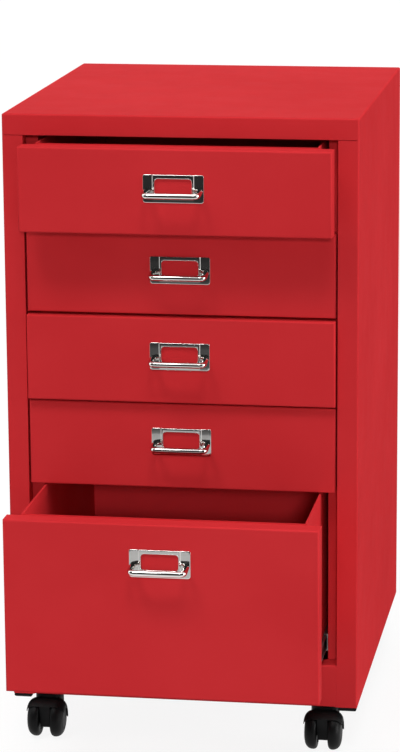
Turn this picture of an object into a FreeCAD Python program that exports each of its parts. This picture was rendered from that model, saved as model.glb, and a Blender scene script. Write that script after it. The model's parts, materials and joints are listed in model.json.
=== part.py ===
import FreeCAD, Part
import math
import os

# Rolling drawer cabinet: a wrapped sheet steel case, five drawers on steel runners, four twin-wheel castors.
# Millimetres. X runs across the front, Y from front to back, Z up. The origin is on the floor under the case.

os.makedirs("parts", exist_ok=True)

Vector = FreeCAD.Vector
ACROSS = Vector(1, 0, 0)
BACKWARD = Vector(0, 1, 0)
FORWARD = Vector(0, -1, 0)
UP = Vector(0, 0, 1)

# Case, outside sizes
case_width = 280.0
case_depth = 325.0
case_height = 473.0
floor_gap = 35.5

# Steel sheet
sheet = 0.8
fold = 1.6
seam = 0.4
weld_gap = 0.2
slide_gap = 0.3
overrun = 6.0
touch = 0.001

# Case front and back borders
stile_width = 16.4
stile_return = 12.0
top_rail = 16.7
base_rail = 35.0
base_rail_return = 15.6
back_border = 14.0
base_flange = 20.0

# Upright channels behind the stiles, which carry the runners
post_inset = 25.4
post_depth = 30.0
post_lip = 10.0
post_foot = 14.0

# Drawer fronts, folded boxes
front_side_gap = 1.4
front_thickness = 16.0
front_lip = 15.0
small_front = 68.0
second_front = 65.8
top_front = 66.7
front_gap = 2.0
base_gap = 1.6
top_gap = 5.2

# Drawer trays
tray_room_behind = 20.9
tray_kept_inside = 70.0
tray_lift = 3.0
tray_rise = 0.8
tray_hem = 8.0

# How far each drawer stands open, from the top drawer to the bottom one
opened = [28.0, 0.0, 5.0, 0.0, 104.0]

# Runners and rails
rail_depth = 2.6
runner_lip = 3.3
runner_rise = 12.0
rail_height = 11.8
stop_height = 5.0
stop_reach = 1.5
glide_plug = 14.0
glide_head = 4.0

# Label frame pulls
plate_width = 47.5
plate_height = 22.0
plate_sheet = 0.8
plate_step = 0.8
plate_top_round = 1.5
plate_bottom_round = 2.2
plate_flange = 7.4
window_width = 29.0
window_height = 12.7
window_round = 2.6
window_margin = 3.2
bar_radius = 2.3
bar_reach = 16.0
bar_rise = 7.7
bar_bend = 4.0
bar_sides = 10
tenon_sides = 8
bar_bend_steps = 3
arm_spacing = 41.8
arm_rise = 9.3
arm_neck = 3.0
arm_bend = 2.6
arm_bend_steps = 2
plate_round_steps = 2
tenon_radius = 1.2
tenon_head_radius = 2.2
tenon_head = 0.8
tenon_gap = 0.1
pull_drop = 19.4

# Push-in corner feet
foot_size = 14.4
foot_inset = 0.7
foot_height = 3.2
foot_plug = 6.0
foot_chamfer = 1.0

# Castors
wheel_radius = 15.2
wheel_width = 10.1
wheel_spread = 9.0
wheel_outer_round = 6.5
wheel_inner_round = 3.0
wheel_cap = 0.8
wheel_sides = 20
wheel_outer_steps = 2
wheel_inner_steps = 1
castor_inset = 27.0
castor_setback = 15.0
castor_trail = 13.0
hood_gap = 0.4
hood_sheet = 0.6
hood_front_angle = 50.0
hood_back_angle = 190.0
hood_steps = 8
hood_round_steps = 2
hub_sides = 10
boss_low = 25.0
boss_radius = 11.4
boss_top_radius = 11.2
boss_gap = 1.0
boss_sides = 12
web_bottom = 9.3
web_reach = 7.0
hub_radius = 6.5
axle_radius = 2.0
axle_end_gap = 0.2
bearing_gap = 0.05
stem_radius = 4.0
stem_pin_radius = 2.5
stem_pin_bottom = 11.0
stem_collar_radius = 6.0
shank_sides = 12
socket_width = 20.0
socket_length = 22.0
socket_sheet = 2.0
socket_nut_radius = 6.5
socket_nut_height = 6.5

# Planes worked out from the sizes above
side = case_width / 2
front = -case_depth / 2
back = case_depth / 2
underside = floor_gap
top = underside + case_height
stile_edge = side - stile_width
rail_edge = top - top_rail
base_floor = underside + sheet
base_top = underside + base_rail
panel_front = back - sheet - sheet
post_face = side - post_inset
post_front = front + front_thickness + slide_gap
front_half = stile_edge - front_side_gap
drawer_room = rail_edge - top_gap - base_top - base_gap
front_count = 5
small_count = 2
shallow_fronts = top_front + second_front + small_front * small_count
deep_front = drawer_room - shallow_fronts - front_gap * (front_count - 1)
post_back = back - front_thickness - slide_gap - post_depth
box_back = front + front_thickness
tray_back = panel_front - tray_room_behind
tray_length = tray_back - box_back
travel = tray_length - tray_kept_inside
runner_web = post_face - sheet
tray_side = runner_web - slide_gap - rail_depth
rail_web = tray_side + sheet
runner_height = rail_height + slide_gap + slide_gap + sheet + sheet
runner_tip = post_face - runner_lip
rail_tip = runner_web - slide_gap
runner_front = post_front + sheet
runner_back = post_back + post_depth
stop_back = tray_back - glide_plug - travel - slide_gap
hood_radius = wheel_radius + hood_gap + hood_sheet
hood_half = wheel_spread / 2 + wheel_width + hood_gap + hood_sheet
hood_round = wheel_outer_round + hood_gap + hood_sheet
web_half = wheel_spread / 2 - slide_gap
hub_top = underside - boss_gap


def block(x0, x1, y0, y1, z0, z1):
    """A square-edged block between two corners."""
    return Part.makeBox(x1 - x0, y1 - y0, z1 - z0, Vector(x0, y0, z0))


def rounded_block(x0, x1, y0, y1, z0, z1, radius, picked):
    """A block whose edges are rounded where picked says so of an edge's middle."""
    plain = block(x0, x1, y0, y1, z0, z1)
    edges = [edge for edge in plain.Edges if picked(edge.CenterOfMass)]
    return plain.makeFillet(radius, edges)


def rod(radius, start, direction, length):
    """A round bar."""
    return Part.makeCylinder(radius, length, start, direction)


def chords(first, middle, last, steps):
    """Points along an arc through three points, at equal steps."""
    arc = Part.Arc(first, middle, last)
    span = arc.LastParameter - arc.FirstParameter
    return [arc.value(arc.FirstParameter + span * i / steps) for i in range(steps + 1)]


def rounded_points(corners, radii, steps, closed):
    """Points of a path whose corners are rounded in short chords."""
    points = []
    for first, middle, last in corner_stops(corners, radii, closed):
        points += [first] if middle is None else chords(first, middle, last, steps)
    return points


def corner_stops(corners, radii, closed):
    """Start, middle and end of the arc at each corner; a square corner has no middle."""
    stops = []
    for i, corner in enumerate(corners):
        at_end = not closed and i in (0, len(corners) - 1)
        if at_end or radii[i] < touch:
            stops.append((corner, None, corner))
            continue
        before = (corners[i - 1] - corner).normalize()
        after = (corners[(i + 1) % len(corners)] - corner).normalize()
        half_angle = before.getAngle(after) / 2
        reach = radii[i] / math.tan(half_angle)
        depth = radii[i] / math.sin(half_angle) - radii[i]
        middle = corner + (before + after).normalize() * depth
        stops.append((corner + before * reach, middle, corner + after * reach))
    return stops


def rounded_path(corners, radii, closed):
    """Lines through the corners, with each corner turned into an arc of its own radius."""
    stops = corner_stops(corners, radii, closed)
    edges = []
    for i, (first, middle, last) in enumerate(stops):
        if middle is not None:
            edges.append(Part.Arc(first, middle, last).toShape())
        if not closed and i == len(stops) - 1:
            continue
        following = stops[(i + 1) % len(stops)][0]
        if last.distanceToPoint(following) > touch:
            edges.append(Part.LineSegment(last, following).toShape())
    return Part.Wire(edges)


def polygon_face(points):
    """A flat face with straight sides."""
    return Part.Face(Part.makePolygon(points + points[:1]))


def rounded_rectangle(x0, x1, z0, z1, y, radii, steps):
    """An upright rectangle facing the front, its corners rounded from the lower left one round."""
    corners = [Vector(x0, y, z0), Vector(x1, y, z0), Vector(x1, y, z1), Vector(x0, y, z1)]
    return polygon_face(rounded_points(corners, radii, steps, True))


def ring(middle, along, start, radius, sides):
    """A regular polygon square to a direction, with its first corner towards start."""
    points = []
    for i in range(sides):
        turn = FreeCAD.Rotation(along, math.degrees(math.tau * i / sides))
        points.append(middle + turn.multVec(start) * radius)
    return points


def flat_sided(loops):
    """A solid in flat faces between loops of points, each loop the far edge of the last faces."""
    faces = [polygon_face(loops[0]), polygon_face(loops[-1])]
    for near, far in zip(loops, loops[1:]):
        for i in range(len(near)):
            faces.append(polygon_face([near[i - 1], near[i], far[i], far[i - 1]]))
    solid = Part.makeSolid(Part.makeShell(faces))
    if solid.Volume < 0:
        solid.reverse()
    return solid


def many_sided(profile, origin, along, start, sides):
    """A turned piece in flat sides: the profile gives each ring's distance along the axis and radius."""
    return flat_sided([ring(origin + along * reach, along, start, radius, sides) for reach, radius in profile])


def many_sided_tube(points, radius, start, sides):
    """A tube in flat sides through the points, mitred where it turns."""
    headings = [(points[i + 1] - points[i]).normalize() for i in range(len(points) - 1)]
    loops = [ring(points[0], headings[0], start, radius, sides)]
    for i in range(1, len(points)):
        along = headings[i - 1]
        mitre = along + headings[min(i, len(headings) - 1)]
        loop = []
        for point in loops[-1]:
            reach = (points[i] - point).dot(mitre) / along.dot(mitre)
            loop.append(point + along * reach)
        loops.append(loop)
    return flat_sided(loops)


def strip_face(path, thickness, bend, normal):
    """The section of a folded sheet: the path is its outer face, and the sheet lies left of the path."""
    headings = [(path[i + 1] - path[i]).normalize() for i in range(len(path) - 1)]
    lefts = [normal.cross(heading) for heading in headings]
    outer_radii = [0.0] * len(path)
    inner_radii = [0.0] * len(path)
    inner = [path[0] + lefts[0] * thickness]
    for i in range(1, len(path) - 1):
        mitre = (lefts[i - 1] + lefts[i]) / (1 + lefts[i - 1].dot(lefts[i]))
        inner.append(path[i] + mitre * thickness)
        turns_left = headings[i - 1].cross(headings[i]).dot(normal) > 0
        tight = max(bend - thickness, 0)
        outer_radii[i] = bend if turns_left else tight
        inner_radii[i] = tight if turns_left else bend
    inner.append(path[-1] + lefts[-1] * thickness)
    corners = list(path) + inner[::-1]
    return Part.Face(rounded_path(corners, outer_radii + inner_radii[::-1], True))


def strip(path, thickness, bend, run):
    """A folded sheet of one section along its run."""
    normal = Vector(run).normalize()
    return strip_face(path, thickness, bend, normal).extrude(run)


def mirrored(shape):
    """The same piece on the other side of the case."""
    return shape.mirror(Vector(0, 0, 0), ACROSS)


def moved(shape, x, y, z):
    """A copy set over by the three distances."""
    copy = shape.copy()
    copy.translate(Vector(x, y, z))
    return copy


def save(node, solids):
    """Writes the solids of one node."""
    shape = solids[0] if len(solids) == 1 else Part.makeCompound(solids)
    shape.exportStep(os.path.join("parts", node + ".step"))


def one(shape):
    """The single solid that a fuse or a cut leaves."""
    return shape.removeSplitter().Solids[0]


# Case


def case_wrap():
    """Sides and top folded from one sheet, with a front border and a back border turned in."""
    inner = fold - sheet
    skin = rounded_block(-side, side, front, back, underside, top, fold, lambda p: p.z > underside)
    hollow = rounded_block(
        -side + sheet, side - sheet, front + sheet, back - sheet, underside - overrun, top - sheet,
        inner, lambda p: p.z > underside - overrun,
    )
    wrap = skin.cut(hollow)
    low = underside - overrun
    wrap = wrap.cut(block(-stile_edge, stile_edge, front - overrun, front + overrun, low, rail_edge))
    gap_edge = side - back_border
    wrap = wrap.cut(block(-gap_edge, gap_edge, back - overrun, back + overrun, low, top - back_border))
    lip = block(stile_edge, stile_edge + sheet, front, front + stile_return, underside, rail_edge - seam)
    rail_lip = block(
        -stile_edge, stile_edge, front, front + stile_return, rail_edge, rail_edge + sheet
    )
    wrap = wrap.fuse([lip, mirrored(lip), rail_lip])
    slit = block(
        stile_edge - overrun, side - fold, front - overrun, front + sheet, rail_edge - seam, rail_edge
    )
    return one(wrap.cut([slit, mirrored(slit)]))


def back_panel():
    """Flat sheet welded behind the back border."""
    reach = side - fold
    return block(-reach, reach, panel_front, back - sheet, base_floor, top - fold)


def castor_places():
    """Name and swivel axis of each castor."""
    across = side - castor_inset
    along = back - castor_setback
    return [
        ("castor_front_left", -across, -along),
        ("castor_front_right", across, -along),
        ("castor_rear_left", -across, along),
        ("castor_rear_right", across, along),
    ]


def base_pan():
    """Floor sheet with the lower front rail, its return, and flanges up the back and the sides."""
    half = stile_edge - seam
    pan_back = panel_front
    section = [
        Vector(-half, pan_back, underside + base_flange),
        Vector(-half, pan_back, underside),
        Vector(-half, front, underside),
        Vector(-half, front, base_top),
        Vector(-half, front + base_rail_return, base_top),
    ]
    # Against the run the path has the sheet on its right, so it is walked from the other end.
    pan = strip(section[::-1], sheet, fold, ACROSS * (half + half))
    notch = front + stile_return + sheet
    wing_back = back - stile_return - sheet
    reach = side - sheet
    flange_front = post_front + post_depth + slide_gap
    flange_back = post_back - slide_gap
    wing = block(half - overrun, reach, notch, wing_back, underside, base_floor)
    flange = block(reach - sheet, reach, flange_front, flange_back, underside, underside + base_flange)
    pan = pan.fuse([wing, mirrored(wing), flange, mirrored(flange)])
    for name, x, y in castor_places():
        profile = [(0, stem_radius + slide_gap), (overrun + overrun, stem_radius + slide_gap)]
        pan = pan.cut(many_sided(profile, Vector(x, y, underside - overrun), UP, ACROSS, shank_sides))
    return one(pan)


def post(low_y):
    """Lipped channel that stands against the right side."""
    high_y = low_y + post_depth
    wall = side - sheet
    foot = underside + post_foot
    section = [
        Vector(wall, high_y - post_lip, foot),
        Vector(wall, high_y, foot),
        Vector(post_face, high_y, foot),
        Vector(post_face, low_y, foot),
        Vector(wall, low_y, foot),
        Vector(wall, low_y + post_lip, foot),
    ]
    return strip(section, sheet, sheet, UP * (top - fold - foot))


def foot_pad(rear):
    """Push-in foot for a right-hand corner: a pad under the case with a plug up inside it."""
    outer = side - foot_inset
    inner = outer - foot_size
    low = front + foot_inset
    pad = block(inner, outer, low, low + foot_size, underside - foot_height, underside)
    bottom = [edge for edge in pad.Edges if edge.CenterOfMass.z < underside - foot_height + touch]
    pad = pad.makeChamfer(foot_chamfer, bottom)
    wall = sheet + weld_gap if rear else 0
    plug = block(
        stile_edge + sheet + weld_gap, side - fold,
        front + fold + wall, front + stile_return - weld_gap,
        underside - touch, underside + foot_plug,
    )
    pad = one(pad.fuse(plug))
    return pad.mirror(Vector(0, 0, 0), BACKWARD) if rear else pad


# Drawers


def drawer_fronts():
    """Bottom and height of each front in its closed place, from the top drawer to the bottom one."""
    heights = [top_front, second_front, small_front, small_front, deep_front]
    places = []
    low = base_top + base_gap
    for height in heights[::-1]:
        places.append((low, height))
        low += height + front_gap
    return places[::-1]


def pull_bottom(low, height):
    """Lower edge of the pull's plate."""
    return low + height - pull_drop - plate_height


def tenon_holes(plate_low, deep):
    """Two holes for the tenons of the pull."""
    holes = []
    for x in (-arm_spacing / 2, arm_spacing / 2):
        start = Vector(x, front - overrun, plate_low + arm_rise)
        profile = [(0, tenon_radius + tenon_gap), (overrun + deep, tenon_radius + tenon_gap)]
        holes.append(many_sided(profile, start, BACKWARD, UP, tenon_sides))
    return holes


def drawer_front(low, height):
    """Hollow folded box: the face, four returns and a lip all round its back."""
    half = front_half
    high = low + height
    skin = rounded_block(-half, half, front, box_back, low, high, fold, lambda p: p.y < front + touch)
    hollow = block(
        -half + sheet, half - sheet, front + sheet, box_back - sheet, low + sheet, high - sheet
    )
    mouth = block(
        -half + front_lip, half - front_lip, box_back - overrun, box_back + overrun,
        low + front_lip, high - front_lip,
    )
    holes = tenon_holes(pull_bottom(low, height), overrun)
    return one(skin.cut([hollow, mouth] + holes))


def drawer_tray(low, height):
    """Open tray: floor and sides in one fold, front and back walls between them, hems along the top."""
    bottom = low + tray_lift
    high = low + height + tray_rise
    section = [
        Vector(-tray_side, box_back, high),
        Vector(-tray_side, box_back, bottom),
        Vector(tray_side, box_back, bottom),
        Vector(tray_side, box_back, high),
    ]
    # Seen against the run, up the left and down the right keeps the sheet on the left of the path.
    tray = strip(section[::-1], sheet, fold, BACKWARD * tray_length)
    inside = tray_side - sheet
    front_wall = block(-inside, inside, box_back, box_back + sheet, bottom + sheet, high)
    back_wall = block(-inside, inside, tray_back - sheet, tray_back, bottom + sheet, high)
    hem = block(inside - sheet, inside, box_back, tray_back, high - tray_hem, high)
    back_hem = block(-inside, inside, tray_back - sheet - sheet, tray_back, high - tray_hem, high)
    return one(tray.fuse([front_wall, back_wall, hem, mirrored(hem), back_hem]))


def channel(x_web, x_tip, middle, height, y0, y1):
    """C-section along Y with its web at x_web and its lips reaching to x_tip."""
    low = middle - height / 2
    high = middle + height / 2
    corners = [(x_tip, high), (x_web, high), (x_web, low), (x_tip, low)]
    if x_tip < x_web:
        corners = corners[::-1]
    section = [Vector(x, y1, z) for x, z in corners]
    return strip(section, sheet, 0, FORWARD * (y1 - y0))


def runner(middle):
    """Fixed runner on the right-hand posts, with the stop that ends the drawer's travel."""
    body = channel(post_face, runner_tip, middle, runner_height, runner_front, runner_back)
    stop = block(
        runner_web - stop_reach, runner_web + sheet / 2, stop_back - sheet, stop_back,
        middle - stop_height / 2, middle + stop_height / 2,
    )
    return one(body.fuse(stop))


def rail(middle):
    """Sliding rail on the right-hand side of the tray."""
    return channel(tray_side, rail_tip, middle, rail_height, box_back + sheet, tray_back)


def glide(middle):
    """Nylon block in the back end of the right-hand rail, with a head behind it."""
    inner = rail_height / 2 - sheet
    plug = block(rail_web, rail_tip, tray_back - glide_plug, tray_back, middle - inner, middle + inner)
    outer = rail_height / 2
    head = block(
        tray_side, rail_tip, tray_back, tray_back + glide_head, middle - outer, middle + outer
    )
    return one(plug.fuse(head))


def pull_plate(plate_low):
    """Stamped label frame: flat ends on the drawer front, and a raised middle with a window."""
    flat = plate_width / 2
    step = flat - plate_flange
    face = front - plate_sheet
    raised = face - plate_step
    section = [
        Vector(-flat, face, plate_low), Vector(-step, face, plate_low),
        Vector(-step, raised, plate_low), Vector(step, raised, plate_low),
        Vector(step, face, plate_low), Vector(flat, face, plate_low),
    ]
    plate = strip(section, plate_sheet, 0, UP * plate_height)
    high = plate_low + plate_height
    radii = [plate_bottom_round, plate_bottom_round, plate_top_round, plate_top_round]
    deep = BACKWARD * (overrun + overrun)
    away = front - overrun
    shape = rounded_rectangle(-flat, flat, plate_low, high, away, radii, plate_round_steps).extrude(deep)
    half = window_width / 2
    sill = high - window_margin - window_height
    radii = [window_round] * len(radii)
    lintel = high - window_margin
    window = rounded_rectangle(-half, half, sill, lintel, away, radii, plate_round_steps).extrude(deep)
    return one(plate.common(shape).cut([window] + tenon_holes(plate_low, overrun)))


def pull_bar(plate_low):
    """Round bar on two bent arms, riveted through the plate and the drawer front."""
    half = arm_spacing / 2
    root = front - plate_sheet
    neck = root - arm_neck
    far = front - bar_reach
    high = plate_low + arm_rise
    low = plate_low + bar_rise
    arm = [Vector(half, root, high), Vector(half, neck, high), Vector(half, far, low)]
    middle = Vector(0, far, low)
    points = rounded_points(arm[:2] + [arm[2]], [0.0, arm_bend, 0.0], arm_bend_steps, False)[:-1]
    points += rounded_points([arm[1], arm[2], middle], [0.0, bar_bend, 0.0], bar_bend_steps, False)[1:-1]
    points += [Vector(-point.x, point.y, point.z) for point in points[::-1]]
    bar = many_sided_tube(points, bar_radius, ACROSS, bar_sides)
    solids = []
    for x in (-half, half):
        foot = Vector(x, root, high)
        through = plate_sheet + sheet
        deep = through + tenon_head
        for radius, start in ((tenon_radius, 0), (tenon_head_radius, through)):
            solids.append(many_sided([(start, radius), (deep, radius)], foot, BACKWARD, UP, tenon_sides))
    return one(bar.fuse(solids))


# Castors, each built about its own swivel axis with its wheels trailing to the front


def castor_socket():
    """Strengthening plate on the base floor with a welded nut."""
    half = socket_width / 2
    reach = socket_length / 2
    plate = block(-half, half, -reach, reach, base_floor, base_floor + socket_sheet)
    nut_low = base_floor + socket_sheet
    nut_sides = 6
    nut_profile = [(0, socket_nut_radius), (socket_nut_height, socket_nut_radius)]
    nut = many_sided(nut_profile, Vector(0, 0, nut_low), UP, ACROSS, nut_sides)
    thread = rod(stem_radius + bearing_gap, Vector(0, 0, underside), UP, floor_gap)
    return one(plate.fuse(nut).cut(thread))


def castor_stem():
    """Threaded stem with a collar under the case and a pin that the castor swivels on."""
    nut_top = base_floor + socket_sheet + socket_nut_height
    collar_low = hub_top + slide_gap
    pin = rod(stem_pin_radius, Vector(0, 0, stem_pin_bottom), UP, collar_low - stem_pin_bottom)
    shank_profile = [(0, stem_radius), (nut_top - underside, stem_radius)]
    shank = many_sided(shank_profile, Vector(0, 0, underside), UP, ACROSS, shank_sides)
    collar_sides = 6
    collar_profile = [(0, stem_collar_radius), (underside - collar_low, stem_collar_radius)]
    collar = many_sided(collar_profile, Vector(0, 0, collar_low), UP, ACROSS, collar_sides)
    return one(pin.fuse([shank, collar]))


def hood_section(axle, half, radius, corner):
    """The hood's outline across the wheels, upright over the axle: two skirts, two rounds and a flat top."""
    right = Vector(half, axle.y, axle.z + radius - corner)
    peak = Vector(half, axle.y, axle.z + radius)
    left_peak = Vector(-half, axle.y, axle.z + radius)
    left = Vector(-half, axle.y, axle.z + radius - corner)
    rounds = [0.0, corner, corner, 0.0]
    return rounded_points([right, peak, left_peak, left], rounds, hood_round_steps, False)[1:-1]


def castor_hood(axle):
    """Hollow cover over both wheels, in flat steps round the axle."""
    outer = hood_section(axle, hood_half, hood_radius, hood_round)
    inner = hood_section(axle, hood_half - hood_sheet, hood_radius - hood_sheet, hood_round - hood_sheet)
    section = outer + inner[::-1]
    upright = 90
    step = (hood_back_angle - hood_front_angle) / hood_steps
    loops = []
    for i in range(hood_steps + 1):
        turn = FreeCAD.Rotation(ACROSS, upright - hood_back_angle + step * i)
        loops.append([axle + turn.multVec(point - axle) for point in section])
    return flat_sided(loops)


def castor_web(axle):
    """Plate between the wheels, from under the axle up into the hood."""
    points = []
    step = (hood_back_angle - hood_front_angle) / hood_steps
    radius = hood_radius - hood_sheet / 2
    for i in range(hood_steps + 1):
        angle = math.radians(hood_front_angle + step * i)
        points.append(axle + Vector(-web_half, -radius * math.cos(angle), radius * math.sin(angle)))
    heel = points[-1]
    points.append(Vector(-web_half, heel.y, web_bottom))
    points.append(Vector(-web_half, axle.y - web_reach, web_bottom))
    points.append(Vector(-web_half, axle.y - web_reach, axle.z))
    return polygon_face(points).extrude(ACROSS * (web_half + web_half))


def castor_housing():
    """Hood over both wheels, the web between them, and the hub round the stem with a wide boss on top."""
    axle = Vector(0, -castor_trail, wheel_radius)
    hub_profile = [(wheel_radius, hub_radius), (hub_top, hub_radius)]
    hub = many_sided(hub_profile, Vector(0, 0, 0), UP, ACROSS, hub_sides)
    boss_profile = [(boss_low, boss_radius), (hub_top, boss_top_radius)]
    hub = hub.fuse(many_sided(boss_profile, Vector(0, 0, 0), UP, ACROSS, boss_sides))
    clear_radius = wheel_radius + hood_gap
    for x in (web_half, -web_half - floor_gap):
        room = many_sided([(0, clear_radius), (floor_gap, clear_radius)],
                          Vector(x, axle.y, axle.z), ACROSS, UP, wheel_sides)
        hub = hub.cut(room)
    housing = castor_hood(axle).fuse([castor_web(axle), hub])
    pin_low = stem_pin_bottom - slide_gap
    pin_bore = rod(stem_pin_radius + bearing_gap, Vector(0, 0, pin_low), UP, floor_gap)
    axle_bore = rod(axle_radius + bearing_gap, axle - ACROSS * hood_half, ACROSS, hood_half + hood_half)
    return one(housing.cut([pin_bore, axle_bore]))


def castor_axle():
    """Steel pin through the web into both wheels."""
    half = wheel_spread / 2 + wheel_width - wheel_cap - axle_end_gap
    start = Vector(-half, -castor_trail, wheel_radius)
    return rod(axle_radius, start, ACROSS, half + half)


def castor_wheel():
    """Right-hand wheel: domed outer edge, softened inner edge and a blind bore."""
    middle = Vector(wheel_spread / 2, -castor_trail, wheel_radius)
    quarter = math.tau / 4
    profile = []
    for i in range(wheel_inner_steps + 1):
        angle = quarter * i / wheel_inner_steps
        drop = wheel_inner_round * (1 - math.sin(angle))
        profile.append((wheel_inner_round * (1 - math.cos(angle)), wheel_radius - drop))
    for i in range(wheel_outer_steps + 1):
        angle = quarter * i / wheel_outer_steps
        reach = wheel_width - wheel_outer_round * (1 - math.sin(angle))
        profile.append((reach, wheel_radius - wheel_outer_round * (1 - math.cos(angle))))
    wheel = many_sided(profile, middle, ACROSS, UP, wheel_sides)
    bore = rod(axle_radius + bearing_gap, middle, ACROSS, wheel_width - wheel_cap)
    return one(wheel.cut(bore))


# All pieces


def build_case():
    save("case_wrap", [case_wrap()])
    save("back_panel", [back_panel()])
    save("base_pan", [base_pan()])
    for name, low_y in (("post_front", post_front), ("post_rear", post_back)):
        right = post(low_y)
        save(name + "_right", [right])
        save(name + "_left", [mirrored(right)])
    pads = [foot_pad(False), foot_pad(True)]
    save("corner_feet", pads + [mirrored(pad) for pad in pads])


def build_drawers():
    runners = []
    for number, (low, height) in enumerate(drawer_fronts()):
        middle = low + runner_rise
        runners.append(runner(middle))
        plate_low = pull_bottom(low, height)
        right_rail = rail(middle)
        right_glide = glide(middle)
        pieces = {
            "front": [drawer_front(low, height)],
            "tray": [drawer_tray(low, height)],
            "rails": [right_rail, mirrored(right_rail)],
            "glides": [right_glide, mirrored(right_glide)],
            "pull_plate": [pull_plate(plate_low)],
            "pull_bar": [pull_bar(plate_low)],
        }
        for piece, solids in pieces.items():
            node = "drawer_" + str(number + 1) + "_" + piece
            save(node, [moved(solid, 0, -opened[number], 0) for solid in solids])
    save("runners_right", runners)
    save("runners_left", [mirrored(solid) for solid in runners])


def build_castors():
    housing = castor_housing()
    axle = castor_axle()
    wheel = castor_wheel()
    socket = castor_socket()
    stem = castor_stem()
    places = castor_places()
    for name, x, y in places:
        save(name + "_housing", [moved(housing, x, y, 0)])
        save(name + "_axle", [moved(axle, x, y, 0)])
        save(name + "_wheel_right", [moved(wheel, x, y, 0)])
        save(name + "_wheel_left", [moved(mirrored(wheel), x, y, 0)])
    save("castor_sockets", [moved(socket, x, y, 0) for name, x, y in places])
    save("castor_stems", [moved(stem, x, y, 0) for name, x, y in places])


build_case()
build_drawers()
build_castors()
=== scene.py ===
"""Looks of the rolling drawer cabinet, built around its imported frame.

Metres, Z up, the front faces -Y. The pulls, the seam and the castors are measured in
millimetres, and MM turns those into metres.
"""

import json
import math

import bmesh
import bpy
from mathutils import Matrix, Vector

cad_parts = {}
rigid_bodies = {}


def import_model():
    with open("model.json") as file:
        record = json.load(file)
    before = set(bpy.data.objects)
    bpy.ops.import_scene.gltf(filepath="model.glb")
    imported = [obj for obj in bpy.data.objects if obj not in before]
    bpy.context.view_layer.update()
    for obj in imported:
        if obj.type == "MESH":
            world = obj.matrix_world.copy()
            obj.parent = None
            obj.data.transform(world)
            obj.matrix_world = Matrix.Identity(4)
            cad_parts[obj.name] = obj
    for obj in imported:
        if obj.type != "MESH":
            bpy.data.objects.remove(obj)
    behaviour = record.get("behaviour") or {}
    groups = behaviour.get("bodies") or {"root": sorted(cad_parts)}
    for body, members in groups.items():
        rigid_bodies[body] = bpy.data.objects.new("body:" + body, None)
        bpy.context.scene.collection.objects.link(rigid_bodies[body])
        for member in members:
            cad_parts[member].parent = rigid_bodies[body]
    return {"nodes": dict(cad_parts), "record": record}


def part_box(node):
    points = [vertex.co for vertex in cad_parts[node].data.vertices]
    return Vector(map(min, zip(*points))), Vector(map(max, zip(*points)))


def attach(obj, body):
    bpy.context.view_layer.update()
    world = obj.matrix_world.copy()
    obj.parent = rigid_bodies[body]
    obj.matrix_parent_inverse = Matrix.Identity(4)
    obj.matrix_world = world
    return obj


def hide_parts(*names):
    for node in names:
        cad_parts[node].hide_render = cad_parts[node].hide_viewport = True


MM = 0.001
ACROSS = Vector((1, 0, 0))
UP = Vector((0, 0, 1))
DRAWERS = 5
WHITE = (1, 1, 1, 1)
BLACK = (0, 0, 0, 1)

# Camera, solved from the photograph: pixels, a sensor in millimetres, metres and degrees
IMAGE_HEIGHT = 752
FOCAL_PIXELS = 3057.7
SENSOR = 36
CAMERA_PLACE = (0.3905, -2.4717, 0.8324)
CAMERA_YAW = 9.232
CAMERA_PITCH = 12.736
CAMERA_ROLL = -0.405
CLIP_START = 0.05
CLIP_END = 200

# Floor, in metres: its tone as light and as the camera sees it, and its lift to white
FLOOR_SIZE = 60
FLOOR_TONE = 0.40
FLOOR_MOTTLE = 0.004
FLOOR_SEEN_TONE = 0.12
FLOOR_LIFT = 0.89

# Light. Each lamp has a strength, a softness in degrees and the way to it.
WORLD_LEVEL = 0.13
LAMPS = {
    "key_left": (0.86, 17, (-0.291, -0.416, 0.862)),
    "key_right": (0.68, 17, (0.117, -0.436, 0.893)),
    "top": (0.63, 40, (0.05, 0.05, 1.0)),
    "fill": (0.77, 4, (0.159, -0.952, 0.261)),
    "low": (0.14, 9, (0.160, -0.984, 0.070)),
    "right": (2.12, 30, (0.97, 0.0, 0.16)),
    "left": (0.38, 40, (-0.85, -0.20, 0.45)),
    "back": (0.90, 40, (-0.35, 0.85, 0.40)),
}
MATTE_LIGHTS = ("back", "fill", "low")

# Glowing sheets that only reflections see, in metres: their set tones paint what the chrome
# reflects. Their tones change from one rise to the next.
# An upright one has a radius, a height and its first and last angle in degrees, a level one
# half its width and where it starts and ends along Y.
REFLECTION_GLOW_TONES = (0.60, 0.17, 0.09, 0.045, 0.03)
REFLECTION_GLOW_RISES = (0.045, 0.085, 0.14, 0.21, 0.28)
PALE_REFLECTION_GLOW_TONES = (0.62, 0.62)
FLAG_STEPS = 32
FLAG_LIFT = 0.001
FRONT_FLAG = (0.95, 1.0, -150, -30)
BACK_FLAG = (1.6, 2.6, 15, 165)
DARK_GROUND = (1.6, -0.05, 1.6)
PALE_GROUND = (1.6, -1.6, -0.6)

# Finishes: linear colours, and roughnesses, each from the low to the high end of a noise
MOTTLE = (0.3, 0.7)
SPECKS = (0.62, 0.8)
SMUDGES = (0.35, 0.75)
PAINT_TONES = ((0.583, 0.0262, 0.0315), (0.621, 0.0305, 0.0362))
PAINT_DUST = (0.70, 0.05, 0.055)
PAINT_DUST_SHARE = 0.05
PAINT_EDGE_TONE = (0.68, 0.036, 0.042)
PAINT_EDGE_SHARE = 0.06
PAINT_ROUGHNESS = (0.54, 0.64)
PAINT_SPECULAR = 0.018
CHROME_TONES = ((0.66, 0.65, 0.63), (0.73, 0.72, 0.70))
CHROME_ROUGHNESS = (0.05, 0.11)
PLASTIC_TONES = ((0.0022, 0.0022, 0.0024), (0.0036, 0.0036, 0.0038))
PLASTIC_RUBBED = (0.0070, 0.0068, 0.0072)
PLASTIC_ROUGHNESS = (0.44, 0.58)
PLASTIC_SPECULAR = 0.13
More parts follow.
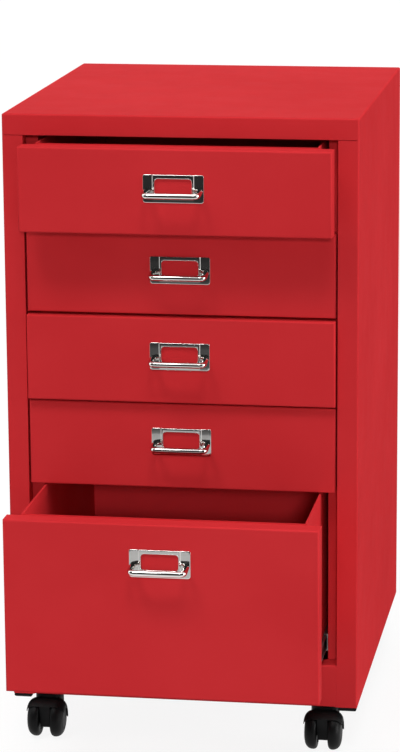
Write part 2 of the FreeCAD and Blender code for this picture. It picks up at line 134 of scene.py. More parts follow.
ZINC_TONES = ((0.26, 0.265, 0.27), (0.38, 0.38, 0.375))
ZINC_GRAIN = (1.0, 0.04, 1.0)
ZINC_ROUGHNESS = (0.34, 0.50)
NYLON_TONES = ((0.70, 0.69, 0.64), (0.78, 0.77, 0.73))
NYLON_ROUGHNESS = (0.40, 0.55)

# Sheet edges, in metres: their round, and how near to each other points are merged
EDGE_ROUND = 0.00022
EDGE_MERGE = 0.00001
PLATE_MERGE = 0.0000005

# Pull, measured from the lower edge of its plate and from the face of the drawer, its turns
# in degrees
PLATE_HALF = 23.75
PLATE_HEIGHT = 22.0
PLATE_SHEET = 0.8
PLATE_STEP = 0.8
PLATE_TOP_ROUND = 1.5
PLATE_BOTTOM_ROUND = 2.2
RIM_WIDTH = 0.7
RIM_DROP = 0.45
STEP_OUTER = 16.5
STEP_INNER = 15.7
FADE_LOW = 3.5
FADE_HIGH = 5.2
WINDOW_HALF = 14.5
WINDOW_LOW = 6.1
WINDOW_HIGH = 18.8
WINDOW_ROUND = 2.6
BAR_RADIUS = 2.3
BAR_REACH = 15.97
BAR_RISE = 7.7
BAR_BEND = 4.0
ARM_HALF = 20.9
ARM_RISE = 9.3
ARM_NECK = 3.0
ARM_BEND = 2.6
RIM_TURN = range(15, 91, 15)
CORNER_TURN = range(0, 91, 10)
STATION_GRID = 0.001

# Seam beside the lower front rail, and the weld's section and how far its ends stop short
RAIL_SEAM = 123.5
RAIL_TOP = 70.5
WELD_SECTION = (
    (-1.2, 0.7), (-1.2, 0.16), (-0.6, 0.06), (0, 0.03), (0.6, 0.06), (1.2, 0.16), (1.2, 0.7)
)
WELD_LOW_STOPS = (0.1, 0.4)
WELD_HIGH_STOPS = (0.5, 0.2)

# Castor, measured from the floor under its stem, its angles in degrees. The groove and the
# ring on a wheel are pairs: a depth, and a radius or how far it lies outside the cap's edge.
WHEEL_RADIUS = 15.2
WHEEL_START = 4.5
WHEEL_WIDTH = 10.1
WHEEL_OUTER_ROUND = 6.5
WHEEL_INNER_ROUND = 3.0
WHEEL_CAP = 0.8
WHEEL_CENTRE = 0.05
WHEEL_GROOVE = ((0.0, 4.2), (0.6, 4.6), (0.6, 9.6), (0.0, 10.0))
TREAD_STOP = 0.6
DOME_DROP = 0.25
DOME_END = 12
CAP_INSET = 1.2
CAP_RING = ((0.18, 0.4), (0.5, 0.0), (0.5, -0.35), (0.12, -0.7))
CAP_CROWN = 0.02
CAP_CROWN_SHARE = 0.5
BORE_MOUTH = 0.3
BORE = 2.05
TRAIL = 13.0
HOOD_RADIUS = 16.2
HOOD_HALF = 15.6
HOOD_ROUND = 7.5
HOOD_SHEET = 0.6
HOOD_FRONT = 50
HOOD_BACK = 190
WEB_HALF = 4.2
WEB_LOW = 9.3
WEB_REACH = 7.0
HUB_RADIUS = 6.5
BOSS_LOW = 25.0
BOSS_RADIUS = 11.4
BOSS_TOP_RADIUS = 11.2
BOSS_TOP = 34.5
BOSS_ROUND = 1.2
BOSS_SHOULDER = (10, 90)
PIN_BORE = 2.55
PIN_LOW = 10.7
PIN_LENGTH = 40
AXLE_LENGTH = 40
ROOM_CLEARANCE = 0.4
ROOM_LENGTH = 30


def link(obj):
    bpy.context.scene.collection.objects.link(obj)
    return obj


def mesh_object(name, bm, smooth_angle=35):
    """Turns a bmesh into an object with smooth shading broken at its sharp edges."""
    bmesh.ops.recalc_face_normals(bm, faces=bm.faces)
    mesh = bpy.data.meshes.new(name)
    bm.to_mesh(mesh)
    bm.free()
    mesh.shade_smooth()
    mesh.set_sharp_from_angle(angle=math.radians(smooth_angle))
    return link(bpy.data.objects.new(name, mesh))


def soften(obj, width, segments=2, angle=40):
    """Rounds the sharp edges by a modifier."""
    bevel = obj.modifiers.new("edges", "BEVEL")
    bevel.width = width
    bevel.segments = segments
    bevel.limit_method = "ANGLE"
    bevel.angle_limit = math.radians(angle)
    bevel.harden_normals = False
    return obj


# Materials


class Nodes:
    """Small helper that makes a tree's nodes and joins them."""

    def __init__(self, tree):
        self.tree = tree

    def node(self, kind, **settings):
        made = self.tree.nodes.new(kind)
        for key, value in settings.items():
            setattr(made, key, value)
        return made

    def join(self, start, end):
        self.tree.links.new(start, end)

    def scaled(self, factor, share):
        made = self.node("ShaderNodeMath", operation="MULTIPLY")
        self.join(factor, made.inputs[0])
        made.inputs[1].default_value = share
        return made.outputs["Value"]

    def seen_directly(self):
        """1 for a ray from the camera, or one mirrored or passed on by metal or glass."""
        path = self.node("ShaderNodeLightPath")
        total = path.outputs["Is Camera Ray"]
        for name in ("Is Glossy Ray", "Is Transmission Ray"):
            made = self.node("ShaderNodeMath", operation="MAXIMUM")
            self.join(total, made.inputs[0])
            self.join(path.outputs[name], made.inputs[1])
            total = made.outputs["Value"]
        return total


class Shader(Nodes):
    """The same helper over a new material's nodes."""

    def __init__(self, name):
        self.material = bpy.data.materials.new(name)
        self.material.use_nodes = True
        super().__init__(self.material.node_tree)
        self.principled = self.tree.nodes["Principled BSDF"]
        self.place = self.node("ShaderNodeTexCoord").outputs["Object"]

    def noise(self, scale, detail=3.0, roughness=0.5, stretch=None):
        made = self.node("ShaderNodeTexNoise")
        made.inputs["Scale"].default_value = scale
        made.inputs["Detail"].default_value = detail
        made.inputs["Roughness"].default_value = roughness
        place = self.place
        if stretch:
            mapping = self.node("ShaderNodeMapping")
            mapping.inputs["Scale"].default_value = stretch
            self.join(place, mapping.inputs["Vector"])
            place = mapping.outputs["Vector"]
        self.join(place, made.inputs["Vector"])
        return made.outputs["Fac"]

    def ramp(self, factor, low, high, dark, light):
        """A number or colour that goes from dark to light as the factor goes from low to high."""
        made = self.node("ShaderNodeMapRange", interpolation_type="SMOOTHSTEP")
        made.inputs["From Min"].default_value = low
        made.inputs["From Max"].default_value = high
        self.join(factor, made.inputs["Value"])
        if isinstance(dark, tuple):
            return self.mix(made.outputs["Result"], dark, light)
        made.inputs["To Min"].default_value = dark
        made.inputs["To Max"].default_value = light
        return made.outputs["Result"]

    def mix(self, factor, first, second):
        made = self.node("ShaderNodeMix", data_type="RGBA")
        self.join(factor, made.inputs["Factor"])
        for value, socket in ((first, made.inputs["A"]), (second, made.inputs["B"])):
            if isinstance(value, tuple):
                socket.default_value = (*value, 1)
            else:
                self.join(value, socket)
        return made.outputs["Result"]

    def edges(self, radius):
        """How near an edge lies: the bevelled normal's turn from the plain one."""
        bevel = self.node("ShaderNodeBevel", samples=6)
        bevel.inputs["Radius"].default_value = radius
        plain = self.node("ShaderNodeNewGeometry")
        dot = self.node("ShaderNodeVectorMath", operation="DOT_PRODUCT")
        self.join(bevel.outputs["Normal"], dot.inputs[0])
        self.join(plain.outputs["Normal"], dot.inputs[1])
        return self.ramp(dot.outputs["Value"], low=1.0, high=0.8, dark=0.0, light=1.0)

    def bump(self, *layers):
        """Bumps one over another: each is a height, a strength and a depth in metres."""
        below = None
        for height, strength, depth in layers:
            made = self.node("ShaderNodeBump")
            made.inputs["Strength"].default_value = strength
            made.inputs["Distance"].default_value = depth
            self.join(height, made.inputs["Height"])
            if below:
                self.join(below, made.inputs["Normal"])
            below = made.outputs["Normal"]
        self.join(below, self.principled.inputs["Normal"])

    def set(self, **values):
        for key, value in values.items():
            socket = self.principled.inputs[key.replace("_", " ")]
            if hasattr(value, "is_linked"):
                self.join(value, socket)
            else:
                socket.default_value = value


def red_paint():
    """Satin powder coat, faintly clouded and speckled, a little lighter along its edges."""
    shader = Shader("red_powder_coat")
    clouds = shader.noise(scale=9, detail=4, roughness=0.55)
    colour = shader.ramp(clouds, *MOTTLE, *PAINT_TONES)
    specks = shader.noise(scale=900, detail=2, roughness=0.6)
    dust = shader.ramp(specks, *SPECKS, dark=0.0, light=PAINT_DUST_SHARE)
    dusted = shader.mix(dust, colour, PAINT_DUST)
    # The paint is made a little lighter near every edge.
    lighter_edges = shader.scaled(shader.edges(radius=0.0012), PAINT_EDGE_SHARE)
    finished = shader.mix(lighter_edges, dusted, PAINT_EDGE_TONE)
    satin = shader.noise(scale=30, detail=5, roughness=0.6)
    shader.set(Base_Color=finished, Roughness=shader.ramp(satin, *MOTTLE, *PAINT_ROUGHNESS))
    shader.set(Specular_IOR_Level=PAINT_SPECULAR)
    shader.bump(
        (shader.noise(scale=5, detail=2, roughness=0.4), 0.18, 0.002),
        (shader.noise(scale=750, detail=3, roughness=0.55), 0.10, 0.00010),
    )
    return shader.material


def chrome():
    """Polished plate with faint smudges."""
    shader = Shader("polished_chrome")
    clouds = shader.noise(scale=60, detail=4, roughness=0.6)
    tone = shader.ramp(clouds, *MOTTLE, *CHROME_TONES)
    smudges = shader.noise(scale=220, detail=5, roughness=0.65)
    smudged = shader.ramp(smudges, *SMUDGES, *CHROME_ROUGHNESS)
    shader.set(Base_Color=tone, Metallic=1.0, Roughness=smudged)
    shader.bump(
        (shader.noise(scale=160, detail=2), 0.02, 0.00008),
        (shader.noise(scale=2500, detail=2), 0.02, 0.00002),
    )
    return shader.material


def black_plastic():
    """Moulded satin plastic, rubbed along its edges."""
    shader = Shader("moulded_black_plastic")
    clouds = shader.noise(scale=120, detail=4, roughness=0.6)
    tone = shader.ramp(clouds, *MOTTLE, *PLASTIC_TONES)
    rubbed = shader.mix(shader.edges(radius=0.0007), tone, PLASTIC_RUBBED)
    satin = shader.noise(scale=90, detail=4, roughness=0.6)
    shader.set(Base_Color=rubbed, Roughness=shader.ramp(satin, *MOTTLE, *PLASTIC_ROUGHNESS))
    shader.set(Specular_IOR_Level=PLASTIC_SPECULAR)
    shader.bump((shader.noise(scale=1800, detail=3, roughness=0.6), 0.18, 0.00006))
    return shader.material


def zinc_steel():
    """Zinc plate with its grain drawn out along Y."""
    shader = Shader("zinc_plated_steel")
    clouds = shader.noise(scale=140, detail=5, roughness=0.65)
    tone = shader.ramp(clouds, *MOTTLE, *ZINC_TONES)
    grain = shader.noise(scale=600, detail=4, roughness=0.6, stretch=ZINC_GRAIN)
    roughness = shader.ramp(grain, *MOTTLE, *ZINC_ROUGHNESS)
    shader.set(Base_Color=tone, Metallic=1.0, Roughness=roughness)
    shader.bump((grain, 0.12, 0.00005))
    return shader.material


def nylon():
    shader = Shader("white_nylon")
    tone = shader.ramp(shader.noise(scale=150), *MOTTLE, *NYLON_TONES)
    roughness = shader.ramp(shader.noise(scale=400), *MOTTLE, *NYLON_ROUGHNESS)
    shader.set(Base_Color=tone, Roughness=roughness)
    shader.bump((shader.noise(scale=1200), 0.15, 0.00005))
    return shader.material


def pale_floor():
    """A pale floor that catches the shadow; the camera and mirrors see it lifted to white."""
    shader = Shader("pale_floor")
    seen = shader.seen_directly()
    dark, light = (FLOOR_TONE - FLOOR_MOTTLE,) * 3, (FLOOR_TONE + FLOOR_MOTTLE,) * 3
    tone = shader.ramp(shader.noise(scale=3), *MOTTLE, dark, light)
    tone = shader.mix(seen, tone, (FLOOR_SEEN_TONE,) * 3)
    shader.set(Base_Color=tone, Roughness=0.9, Specular_IOR_Level=0.0)
    shader.set(Emission_Color=WHITE, Emission_Strength=shader.scaled(seen, FLOOR_LIFT))
    return shader.material


def painted_reflection_glow(name, tones, rises):
    """A glowing sheet with set tones, one over another from the floor up, that paints what
    reflections show.
    """
    shader = Shader(name)
    height = shader.node("ShaderNodeSeparateXYZ")
    shader.join(shader.place, height.inputs["Vector"])
    colour = (tones[0],) * 3
    for tone, low, high in zip(tones[1:], rises, rises[1:]):
        share = shader.ramp(height.outputs["Z"], low, high, dark=0.0, light=1.0)
        colour = shader.mix(share, colour, (tone,) * 3)
    shader.set(Base_Color=BLACK, Roughness=1.0, Specular_IOR_Level=0.0)
    shader.set(Emission_Color=colour, Emission_Strength=1.0)
    return shader.material


# Shapes


def rounded_path(corners, rounds, steps):
    """Points through the corners, each turned into an arc unless it has no round."""
    points = []
    for i, corner in enumerate(corners):
        if not rounds[i]:
            points.append(corner.copy())
            continue
        before = (corners[i - 1] - corner).normalized()
        after = (corners[(i + 1) % len(corners)] - corner).normalized()
        half_turn = before.angle(after) / 2
        reach = rounds[i] / math.tan(half_turn)
        middle = corner + (before + after).normalized() * (rounds[i] / math.sin(half_turn))
        first = corner + before * reach - middle
        last = corner + after * reach - middle
        for k in range(steps + 1):
            points.append(middle + slerped(first, last, k / steps))
    return points


def slerped(first, last, share):
    """A vector turned from first towards last by a share of the angle between them."""
    angle = first.angle(last)
    turned = first * math.sin((1 - share) * angle) + last * math.sin(share * angle)
    return turned / math.sin(angle)


def ring_of(bm, centre, axis, arm, radius, sides):
    """Vertices all round an axis, starting from the arm's side."""
    ring = []
    for k in range(sides):
        turn = Matrix.Rotation(math.tau * k / sides, 3, axis)
        ring.append(bm.verts.new(centre + (turn @ arm) * radius))
    return ring


def bridge(bm, rings):
    """Joins each ring of vertices to the next one, and closes the first and the last."""
    for near, far in zip(rings, rings[1:]):
        for k in range(len(near)):
            bm.faces.new((near[k - 1], near[k], far[k], far[k - 1]))
    bm.faces.new(rings[0])
    bm.faces.new(rings[-1])


def tube(points, radius, start, sides=24):
    """A closed round bar through the points."""
    bm = bmesh.new()
    rings = []
    headings = [(b - a).normalized() for a, b in zip(points, points[1:])]
    arm = start
    for i, point in enumerate(points):
        along = (headings[max(i - 1, 0)] + headings[min(i, len(headings) - 1)]).normalized()
        arm = (arm - along * arm.dot(along)).normalized()
        rings.append(ring_of(bm, point, along, arm, radius, sides))
    bridge(bm, rings)
    return bm


def lathe(profile, centre, axis, start, sides=64):
    """A turned piece: the profile gives distances along the axis and radii, end to end."""
    bm = bmesh.new()
    rings = []
    for reach, radius in profile:
        rings.append(ring_of(bm, centre + axis * reach, axis, start, radius, sides))
    bridge(bm, rings)
    return bm


def arc(centre, radii, start, end, steps):
    """Points of an elliptic arc, as pairs."""
    points = []
    for k in range(steps + 1):
        angle = math.radians(start + (end - start) * k / steps)
        across = centre[0] + radii[0] * math.cos(angle)
        points.append((across, centre[1] + radii[1] * math.sin(angle)))
    return points


def outline_gap(x, z, half, low, high, low_round, high_round):
    """Distance from a rounded rectangle's outline, negative inside it."""
    middle = (low + high) / 2
    radius = high_round if z > middle else low_round
    over = abs(x) - half + radius
    above = abs(z - middle) - (high - low) / 2 + radius
    outside = math.hypot(max(over, 0), max(above, 0))
    return outside + min(max(over, above), 0) - radius


def gentle(share):
    """A share that starts and ends slowly."""
    share = min(max(share, 0), 1)
    return share * share * (3 - 2 * share)


def rim_depth(x, z):
    """How far the plate's rolled rims have dropped at a point."""
    outer = -outline_gap(x, z, PLATE_HALF, 0, PLATE_HEIGHT, PLATE_BOTTOM_ROUND, PLATE_TOP_ROUND)
    window = outline_gap(x, z, WINDOW_HALF, WINDOW_LOW, WINDOW_HIGH, WINDOW_ROUND, WINDOW_ROUND)
    share = 1 - min(max(min(outer, window), 0) / RIM_WIDTH, 1)
    return RIM_DROP * (1 - math.sqrt(1 - share * share))


def turned_in(radius, turn):
    """How far a round of this radius has come in at each angle."""
    return [radius * (1 - math.cos(math.radians(a))) for a in turn]


def edge_round(x, half, radius):
    """How far a rounded corner has pulled an edge in at x."""
    over = abs(x) - (half - radius)
    return radius - math.sqrt(max(radius**2 - over**2, 0)) if over > 0 else 0.0


def plate_stations():
    """Places across the plate, closest at its corners, stepped edges and rims."""
    rim = turned_in(RIM_WIDTH, RIM_TURN)
    stations = [PLATE_HALF - d for d in turned_in(PLATE_BOTTOM_ROUND, CORNER_TURN)]
    stations += [PLATE_HALF - d for d in turned_in(PLATE_TOP_ROUND, RIM_TURN)]
    stations += [PLATE_HALF - d for d in rim]
    stations += [STEP_OUTER - (STEP_OUTER - STEP_INNER) * k / 6 for k in range(7)]
    corner = WINDOW_HALF - WINDOW_ROUND
    stations += [corner + WINDOW_ROUND * math.cos(math.radians(a)) for a in CORNER_TURN]
    stations += [WINDOW_HALF + d for d in rim]
    stations += [corner * k / 4 for k in range(1, 4)]
    stations = sorted({round(x, 3) for x in stations})
    return [-x for x in stations[::-1]] + [0.0] + stations


def plate_heights(x):
    """Heights on the plate at x: those under its window, and those over it."""
    rim = turned_in(RIM_WIDTH, RIM_TURN)
    fade = [FADE_LOW + (FADE_HIGH - FADE_LOW) * k / 5 for k in range(6)]
    low = edge_round(x, PLATE_HALF, PLATE_BOTTOM_ROUND)
    high = PLATE_HEIGHT - edge_round(x, PLATE_HALF, PLATE_TOP_ROUND)
    in_window = abs(x) <= WINDOW_HALF
    inset = edge_round(x, WINDOW_HALF, WINDOW_ROUND) if in_window else WINDOW_ROUND
    sill, lintel = WINDOW_LOW + inset, WINDOW_HIGH - inset
    under = [low] + [low + d for d in rim] + fade + [sill - d for d in rim[::-1]] + [sill]
    over = [lintel] + [lintel + d for d in rim] + [high - d for d in rim[::-1]] + [high]
    return under, over


def plate_shape():
    """The pull's plate: rolled rims round a window, and a middle raised between two steps."""
    bm = bmesh.new()
    columns = []
    for x in plate_stations():
        under, over = plate_heights(x)
        across = gentle((STEP_OUTER - abs(x)) / (STEP_OUTER - STEP_INNER))
        shown, hidden = [], []
        for z in under + over:
            up = PLATE_STEP * across * gentle((z - FADE_LOW) / (FADE_HIGH - FADE_LOW))
            rim = rim_depth(x, z) - PLATE_SHEET
            shown.append(Vector((x, rim - up, z)) * MM)
            hidden.append(Vector((x, -up, z)) * MM)
        sides = tuple([bm.verts.new(point) for point in points] for points in (shown, hidden))
        columns.append((x, sides))
    opening = len(under) - 1
    rows = len(under + over) - 1
    for (x0, near), (x1, far) in zip(columns, columns[1:]):
        in_window = abs(x0 + x1) / 2 < WINDOW_HALF
        for a, b in zip(near, far):
            for row in range(rows):
                if row != opening or not in_window:
                    bm.faces.new((a[row], b[row], b[row + 1], a[row + 1]))
        for row in (0, opening, opening + 1, rows) if in_window else (0, rows):
            bm.faces.new((near[0][row], far[0][row], far[1][row], near[1][row]))
    for x, (shown, hidden) in (columns[0], columns[-1]):
        for row in range(rows):
            bm.faces.new((shown[row], shown[row + 1], hidden[row + 1], hidden[row]))
    for x, (shown, hidden) in columns:
        if abs(abs(x) - WINDOW_HALF) < STATION_GRID:
            top = opening + 1
            bm.faces.new((shown[opening], shown[top], hidden[top], hidden[opening]))
    bmesh.ops.remove_doubles(bm, verts=bm.verts, dist=PLATE_MERGE)
    return bm


def bar_shape():
    """The pull's bar: down two bent arms into one straight rod."""
    root = -PLATE_SHEET
    arm = [
        (ARM_HALF, root, ARM_RISE),
        (ARM_HALF, root - ARM_NECK, ARM_RISE),
        (ARM_HALF, -BAR_REACH, BAR_RISE),
    ]
    corners = [Vector(p) * MM for p in arm + [(-x, y, z) for x, y, z in arm[::-1]]]
    rounds = [0, ARM_BEND * MM, BAR_BEND * MM, BAR_BEND * MM, ARM_BEND * MM, 0]
    return tube(rounded_path(corners, rounds, 8), BAR_RADIUS * MM, ACROSS)


def wheel_shape():
    """Right-hand wheel: grooved inner face, narrow tread, domed outer face round a ringed cap."""
    inner = arc((WHEEL_INNER_ROUND, WHEEL_RADIUS - WHEEL_INNER_ROUND),
                (-WHEEL_INNER_ROUND, WHEEL_INNER_ROUND), 0, 90, 8)
    dome_start = WHEEL_WIDTH - WHEEL_OUTER_ROUND
    outer = arc((dome_start, WHEEL_RADIUS - WHEEL_OUTER_ROUND),
                (WHEEL_OUTER_ROUND - DOME_DROP, WHEEL_OUTER_ROUND), 90, DOME_END, 12)
    cap_edge = outer[-1][1] - CAP_INSET
    bore_end = WHEEL_WIDTH - WHEEL_CAP
    profile = [(bore_end, WHEEL_CENTRE), (bore_end, BORE)]
    profile += [(BORE_MOUTH, BORE), (0.0, BORE + BORE_MOUTH), *WHEEL_GROOVE]
    profile += inner + [(dome_start - TREAD_STOP, WHEEL_RADIUS)] + outer
    profile += [(WHEEL_WIDTH - depth, cap_edge + out) for depth, out in CAP_RING]
    profile += [(WHEEL_WIDTH - CAP_CROWN, cap_edge * CAP_CROWN_SHARE), (WHEEL_WIDTH, WHEEL_CENTRE)]
    profile = [(x * MM, r * MM) for x, r in profile]
    return lathe(profile, Vector((WHEEL_START, -TRAIL, WHEEL_RADIUS)) * MM, ACROSS, UP)


def over_the_axle(radius, k, steps):
    """Y and Z of step k on the way over the axle, from the hood's front edge to its back one."""
    angle = math.radians(HOOD_FRONT + (HOOD_BACK - HOOD_FRONT) * k / steps)
    return -TRAIL - radius * math.cos(angle), WHEEL_RADIUS + radius * math.sin(angle)


def hood_loop(half, radius, corner):
    """The hood's outline across both wheels, as pairs of x and height over the axle."""
    right = arc((half - corner, radius - corner), (corner, corner), 0, 90, 8)
    return right + arc((corner - half, radius - corner), (corner, corner), 90, 180, 8)


def hood_shape():
    """Hollow cover over both wheels, swept round the axle."""
    bm = bmesh.new()
    outer = hood_loop(HOOD_HALF, HOOD_RADIUS, HOOD_ROUND)
    inner = hood_loop(HOOD_HALF - HOOD_SHEET, HOOD_RADIUS - HOOD_SHEET, HOOD_ROUND - HOOD_SHEET)
    section = outer + inner[::-1]
    steps = 36
    rings = []
    for k in range(steps + 1):
        points = [Vector((x, *over_the_axle(r, k, steps))) for x, r in section]
        rings.append([bm.verts.new(point * MM) for point in points])
    bridge(bm, rings)
    return bm


def web_shape():
    """Upright plate between the wheels."""
    bm = bmesh.new()
    radius = HOOD_RADIUS - HOOD_SHEET / 2
    steps = 18
    points = [over_the_axle(radius, k, steps) for k in range(steps + 1)]
    points.append((points[-1][0], WEB_LOW))
    points.append((-TRAIL - WEB_REACH, WEB_LOW))
    points.append((-TRAIL - WEB_REACH, WHEEL_RADIUS))
    rings = []
    for x in (-WEB_HALF, WEB_HALF):
        rings.append([bm.verts.new(Vector((x, y, z)) * MM) for y, z in points])
    bridge(bm, rings)
    return bm


def hub_shape():
    """The hub round the stem, whose wide boss has a rounded shoulder."""
    shoulder = arc((BOSS_TOP_RADIUS - BOSS_ROUND, BOSS_TOP - BOSS_ROUND),
                   (BOSS_ROUND, BOSS_ROUND), *BOSS_SHOULDER, 6)
    profile = [(WHEEL_RADIUS, HUB_RADIUS), (BOSS_LOW, HUB_RADIUS), (BOSS_LOW, BOSS_RADIUS)]
    profile += [(z, r) for r, z in shoulder]
    return lathe([(z * MM, r * MM) for z, r in profile], Vector((0, 0, 0)), UP, ACROSS, 48)


def rod_across(start, length, radius, sides):
    """A plain rod along the axle, to cut with."""
    profile = [(0, radius * MM), (length * MM, radius * MM)]
    return lathe(profile, Vector((start, -TRAIL, WHEEL_RADIUS)) * MM, ACROSS, UP, sides)


def joined(name, shapes, cutters):
    """One mesh from several closed shapes, with the cutters taken out."""
    base = mesh_object(name, shapes[0])
    helpers = []
    steps = [(shape, "UNION") for shape in shapes[1:]]
    steps += [(cutter, "DIFFERENCE") for cutter in cutters]
    for shape, operation in steps:
        helper = mesh_object(name + "_helper", shape)
        helpers.append(helper)
        step = base.modifiers.new("step", "BOOLEAN")
        step.operation = operation
        step.solver = "EXACT"
        step.object = helper
    bpy.context.view_layer.update()
    evaluated = base.evaluated_get(bpy.context.evaluated_depsgraph_get())
    made = bpy.data.meshes.new_from_object(evaluated)
    base.modifiers.clear()
    base.data = made
    for helper in helpers:
        bpy.data.objects.remove(helper)
    return base


def housing_object(name):
    """Hood, web and hub in one, with room for the wheels and bores for the stem and the axle."""
    room = WHEEL_RADIUS + ROOM_CLEARANCE
    rooms = [rod_across(x, ROOM_LENGTH, room, 64) for x in (WEB_HALF, -WEB_HALF - ROOM_LENGTH)]
    hub_object = joined(name + "_hub", [hub_shape()], rooms)
    hub = bmesh.new()
    hub.from_mesh(hub_object.data)
    bpy.data.objects.remove(hub_object)
    pin_profile = [(0, PIN_BORE * MM), (PIN_LENGTH * MM, PIN_BORE * MM)]
    pin = lathe(pin_profile, Vector((0, 0, PIN_LOW * MM)), UP, ACROSS, 32)
    axle = rod_across(-AXLE_LENGTH / 2, AXLE_LENGTH, BORE, 32)
    return joined(name, [hood_shape(), web_shape(), hub], [pin, axle])


def weld_shape(hand, corner):
    """A strip filling the seam beside the lower front rail, its face a shallow crown."""
    bm = bmesh.new()
    middle = hand * RAIL_SEAM
    face = corner.y / MM
    heights = [corner.z / MM + stop for stop in WELD_LOW_STOPS]
    heights += [RAIL_TOP - stop for stop in WELD_HIGH_STOPS]
    rings = []
    for z in heights:
        points = [Vector((middle + x, face + y, z)) * MM for x, y in WELD_SECTION]
        rings.append([bm.verts.new(point) for point in points])
    bridge(bm, rings)
    return bm


def upright_screen(radius, height, start, end):
    """Part of a cylinder round the object."""
    bm = bmesh.new()
    columns = []
    for x, y in arc((0, 0), (radius, radius), start, end, FLAG_STEPS):
        columns.append([bm.verts.new((x, y, z)) for z in (FLAG_LIFT, height)])
    for near, far in zip(columns, columns[1:]):
        bm.faces.new((near[0], far[0], far[1], near[1]))
    return bm


def level_screen(half, start, end):
    """A flat sheet just over the floor."""
    bm = bmesh.new()
    corners = ((-half, start), (half, start), (half, end), (-half, end))
    bm.faces.new([bm.verts.new((x, y, FLAG_LIFT)) for x, y in corners])
    return bm


# Pieces


def repeated(name, source, place, mirror=False):
    """A copy of a built piece, moved to its place."""
    copy = link(bpy.data.objects.new(name, source.data.copy()))
    flip = Matrix.Scale(-1, 4, ACROSS) if mirror else Matrix.Identity(4)
    copy.data.transform(Matrix.Translation(place) @ flip)
    if mirror:
        copy.data.flip_normals()
    for modifier in source.modifiers:
        soften(copy, modifier.width, modifier.segments, math.degrees(modifier.angle_limit))
    return copy


def dress(obj, slot, body, *stands_for):
    """Gives a new piece its finish, its body and the nodes that it stands for."""
    obj.data.materials.clear()
    obj.data.materials.append(finishes[slot])
    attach(obj, body)
    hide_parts(*stands_for)


def painted_reflection_screen(name, bm, reflection_glow_material):
    """A screen that only reflections see; it glows with the painted-reflection tones it is given.
    """
    flag = mesh_object(name, bm)
    flag.data.materials.append(reflection_glow_material)
    flag.visible_camera = False
    flag.visible_diffuse = False
    flag.visible_shadow = False
    flag.visible_transmission = False
    return flag


# Frame and finishes

for started in list(bpy.data.objects):
    bpy.data.objects.remove(started)
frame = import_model()
bpy.context.view_layer.update()
nodes = frame["nodes"]

finishes = {
    "red_steel": red_paint(),
    "chrome": chrome(),
    "black_plastic": black_plastic(),
    "zinc_steel": zinc_steel(),
    "white_nylon": nylon(),
}
for part in frame["record"]["subparts"]:
    node = nodes[part["node"]]
    node.data.materials.clear()
    node.data.materials.append(finishes[part["material_slot"]])


# Rounded sheet edges on the red nodes
for node in nodes.values():
    if node.data.materials[0] is finishes["red_steel"]:
        weld = node.modifiers.new("weld", "WELD")
        weld.merge_threshold = EDGE_MERGE
        soften(node, EDGE_ROUND, 2, 50)

# Pulls
plate = mesh_object("plate_pattern", plate_shape(), 50)
bar = mesh_object("bar_pattern", bar_shape())
for number in range(1, DRAWERS + 1):
    drawer = f"drawer_{number}"
    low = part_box(drawer + "_pull_plate")[0]
    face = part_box(drawer + "_front")[0].y
    place = Vector((0, face, low.z))
    label_frame = repeated(drawer + "_label_frame", plate, place)
    dress(label_frame, "chrome", drawer, drawer + "_pull_plate")
    handle_bar = repeated(drawer + "_handle_bar", bar, place)
    dress(handle_bar, "chrome", drawer, drawer + "_pull_bar")

# Castors
wheel = mesh_object("wheel_pattern", wheel_shape(), 30)
housing = soften(housing_object("housing_pattern"), EDGE_ROUND, 3)
for end in ("front", "rear"):
    for hand in ("left", "right"):
        castor = f"castor_{end}_{hand}"
        axle_low, axle_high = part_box(castor + "_axle")
        middle = (axle_low + axle_high) / 2
        place = Vector((middle.x, middle.y + TRAIL * MM, 0))
        hood = repeated(castor + "_hood", housing, place)
        dress(hood, "black_plastic", castor, castor + "_housing")
        for side in ("left", "right"):
            node = f"{castor}_wheel_{side}"
            piece = repeated(node + "_tyre", wheel, place, mirror=side == "left")
            dress(piece, "black_plastic", node, node)
for pattern in (plate, bar, wheel, housing):
    bpy.data.objects.remove(pattern)

# Welds ground flush where the lower front rail meets the borders
rail_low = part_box("base_pan")[0]
for name, hand in (("left", -1), ("right", 1)):
    dress(mesh_object(f"rail_weld_{name}", weld_shape(hand, rail_low)), "red_steel", "case")
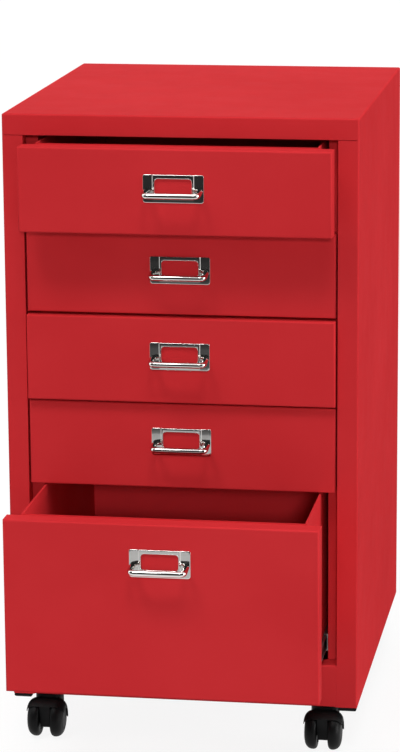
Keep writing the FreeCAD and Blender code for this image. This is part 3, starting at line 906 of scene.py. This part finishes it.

# Floor, and glowing sheets that paint reflections
bm = bmesh.new()
bmesh.ops.create_grid(bm, x_segments=1, y_segments=1, size=FLOOR_SIZE / 2)
floor = mesh_object("floor", bm)
floor.data.materials.append(pale_floor())
# Painted reflections: the sheets glow with set tones, pale near the floor and dark above it in
# front, dark behind and on the ground, pale on the apron.
faded = painted_reflection_glow("painted_reflection_faded", REFLECTION_GLOW_TONES, REFLECTION_GLOW_RISES)
dark = painted_reflection_glow("painted_reflection_dark", REFLECTION_GLOW_TONES[-1:] * 2, REFLECTION_GLOW_RISES[:2])
pale = painted_reflection_glow("painted_reflection_pale", PALE_REFLECTION_GLOW_TONES, REFLECTION_GLOW_RISES[:2])
flags = [
    painted_reflection_screen("painted_reflection_screen_front", upright_screen(*FRONT_FLAG), faded),
    painted_reflection_screen("painted_reflection_screen_back", upright_screen(*BACK_FLAG), dark),
    painted_reflection_screen("painted_reflection_screen_ground", level_screen(*DARK_GROUND), dark),
    painted_reflection_screen("painted_reflection_screen_apron", level_screen(*PALE_GROUND), pale),
]

# A dim even light that the camera and mirrors see as white
world = bpy.data.worlds.new("studio")
bpy.context.scene.world = world
world.use_nodes = True
background = world.node_tree.nodes["Background"]
lights = Nodes(world.node_tree)
level = lights.node("ShaderNodeMapRange")
lights.join(lights.seen_directly(), level.inputs["Value"])
level.inputs["To Min"].default_value = WORLD_LEVEL
level.inputs["To Max"].default_value = 1.0
background.inputs["Color"].default_value = WHITE
lights.join(level.outputs["Result"], background.inputs["Strength"])

# Lamps
for name, (strength, softness, source) in LAMPS.items():
    light = bpy.data.lights.new(name + "_light", "SUN")
    light.energy = strength
    light.angle = math.radians(softness)
    lamp = link(bpy.data.objects.new(name + "_light", light))
    lamp.visible_glossy = name not in MATTE_LIGHTS
    lamp.rotation_mode = "QUATERNION"
    lamp.rotation_quaternion = Vector(source).to_track_quat("Z", "Y")

# Camera
camera = link(bpy.data.objects.new("camera", bpy.data.cameras.new("camera")))
camera.data.sensor_width = SENSOR
camera.data.lens = FOCAL_PIXELS * SENSOR / IMAGE_HEIGHT
camera.data.clip_start = CLIP_START
camera.data.clip_end = CLIP_END
yaw, pitch, roll = (math.radians(a) for a in (CAMERA_YAW, CAMERA_PITCH, CAMERA_ROLL))
forward = Vector((
    -math.sin(yaw) * math.cos(pitch), math.cos(yaw) * math.cos(pitch), -math.sin(pitch)
))
level_right = Vector((math.cos(yaw), math.sin(yaw), 0))
level_up = level_right.cross(forward)
right = level_right * math.cos(roll) + level_up * math.sin(roll)
upward = level_up * math.cos(roll) - level_right * math.sin(roll)
turn = Matrix((right, upward, -forward)).transposed().to_4x4()
camera.matrix_world = Matrix.Translation(CAMERA_PLACE) @ turn
bpy.context.scene.camera = camera
bpy.context.scene.view_settings.view_transform = "Standard"

bpy.context.view_layer.update()
